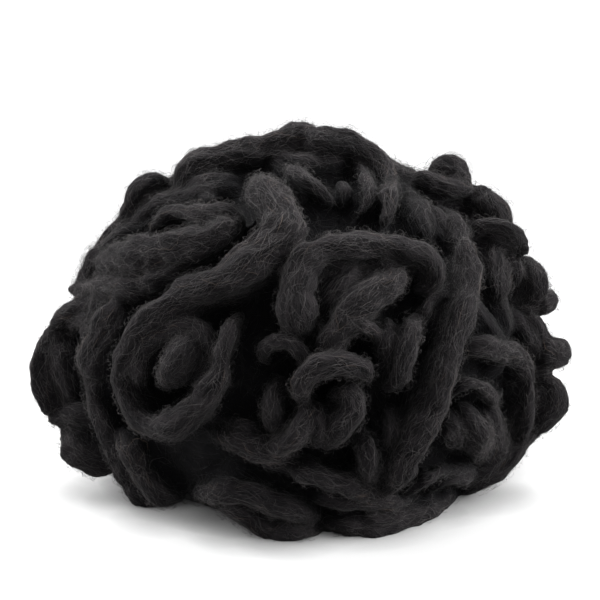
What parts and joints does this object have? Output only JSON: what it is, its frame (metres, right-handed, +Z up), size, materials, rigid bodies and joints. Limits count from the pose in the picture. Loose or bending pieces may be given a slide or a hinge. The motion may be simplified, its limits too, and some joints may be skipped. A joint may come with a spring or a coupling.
{
  "type": "wool roving, a loose heap of one carded strand",
  "caption": "Loose rounded heap of thick black carded wool roving, one soft strand lying in folds and spirals, flat where it rests.",
  "frame": {"origin": "middle of the heap's bounding box, at the floor", "axes": "+Z up, +X to the right of the side that the big spiral and the long diagonal fold show on, -Y towards that side"},
  "size_m": [0.3446, 0.2952, 0.2299],
  "materials": {
    "black_wool": "matt, fuzzy, loose carded fibre"
  },
  "bodies": {
    "root": {"wool_roving": "black_wool"}
  },
  "joints": []
}
